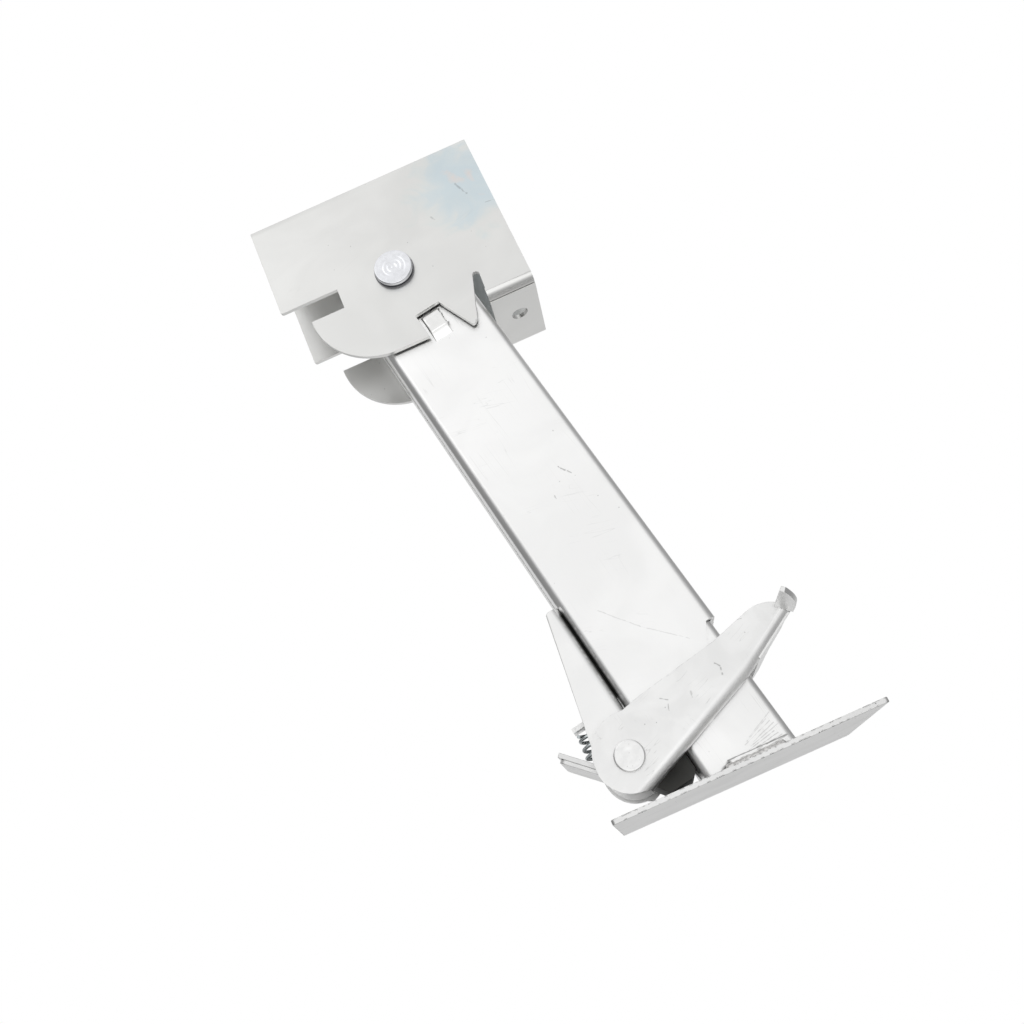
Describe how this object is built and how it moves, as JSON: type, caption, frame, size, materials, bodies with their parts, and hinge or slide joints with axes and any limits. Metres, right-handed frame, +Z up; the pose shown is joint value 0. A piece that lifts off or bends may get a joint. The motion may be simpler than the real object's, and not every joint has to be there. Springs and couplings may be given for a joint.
{
  "type": "swing-down support leg",
  "caption": "Swing-down telescoping support leg: folded steel mounting bracket, lipped channel leg on a pivot rivet, sliding inner leg with flat foot, and a quick-release lever.",
  "frame": {"origin": "centre of the bracket's top mounting face", "axes": "+Z up out of the mounting face, +X along the bracket towards the side the deployed leg leans to, +Y to the rear, away from the finger tab's side"},
  "size_m": [0.1568, 0.0998, 0.3243],
  "materials": {
    "zinc_bracket": "zinc-plated folded sheet, faint iridescent passivation",
    "rivet_steel": "bright zinc-plated rivet head and washer",
    "sleeve_steel": "turned tube, zinc plated",
    "zinc_leg": "bright zinc-plated rolled sheet",
    "zinc_lug": "bright pressed zinc-plated sheet",
    "zinc_ears": "bright zinc-plated folded sheet",
    "lever_rivet_steel": "satin zinc-plated rivet",
    "zinc_lever": "bright zinc-plated stamping with handling scratches",
    "zinc_pawl": "zinc-plated sheet",
    "spring_wire": "zinc-plated spring wire",
    "zinc_inner_leg": "bright zinc-plated rolled sheet with slide marks",
    "nylon": "natural moulded nylon",
    "zinc_foot": "zinc-plated plate with worn edges",
    "weld_bead": "rippled weld bead, zinc plated over"
  },
  "bodies": {
    "bracket": {"bracket": "zinc_bracket", "pivot_rivet": "rivet_steel", "pivot_washer_front": "rivet_steel", "pivot_washer_rear": "rivet_steel"},
    "swing_sleeve": {"pivot_sleeve": "sleeve_steel"},
    "outer_leg": {"outer_leg": "zinc_leg", "lock_lug_front": "zinc_lug", "lock_lug_rear": "zinc_lug", "lever_bracket": "zinc_ears", "lever_rivet": "lever_rivet_steel", "lever_bush": "sleeve_steel", "lever_washer_front": "sleeve_steel", "lever_washer_rear": "sleeve_steel", "grip_spring": "spring_wire"},
    "lever": {"lever": "zinc_lever"},
    "grip": {"grip_pawl": "zinc_pawl", "paddle_backing": "zinc_pawl"},
    "inner_leg": {"inner_leg": "zinc_inner_leg", "slide_shoe": "nylon", "foot_plate": "zinc_foot", "foot_weld": "weld_bead"}
  },
  "joints": [
    {"name": "leg_swing", "type": "hinge", "parent": "bracket", "child": "swing_sleeve", "pos_m": [0, 0, -0.0555], "axis": [0, 1, 0], "range_deg": [0, 99.6], "deforming": ["lock_lug_front", "lock_lug_rear"]},
    {"name": "leg_pull", "type": "slide", "parent": "swing_sleeve", "child": "outer_leg", "axis": [0.1668, 0, -0.986], "range_m": [0, 0.024]},
    {"name": "leg_extend", "type": "slide", "parent": "outer_leg", "child": "inner_leg", "axis": [0.1668, 0, -0.986], "range_m": [0, 0.165]},
    {"name": "lever_turn", "type": "hinge", "parent": "outer_leg", "child": "lever", "pos_m": [0.00656, 0, -0.30236], "axis": [0, 1, 0], "range_deg": [0, 25], "stiffness_Nm_per_rad": 0.4, "springref_deg": -20.05},
    {"name": "pawl_turn", "type": "hinge", "parent": "outer_leg", "child": "grip", "pos_m": [0.00656, 0, -0.30236], "axis": [0, 1, 0], "range_deg": [0, 10], "deforming": ["grip_spring"]}
  ],
  "couplings": [
    {"joint": "pawl_turn", "follows": "lever_turn", "ratio": 0.4}
  ]
}
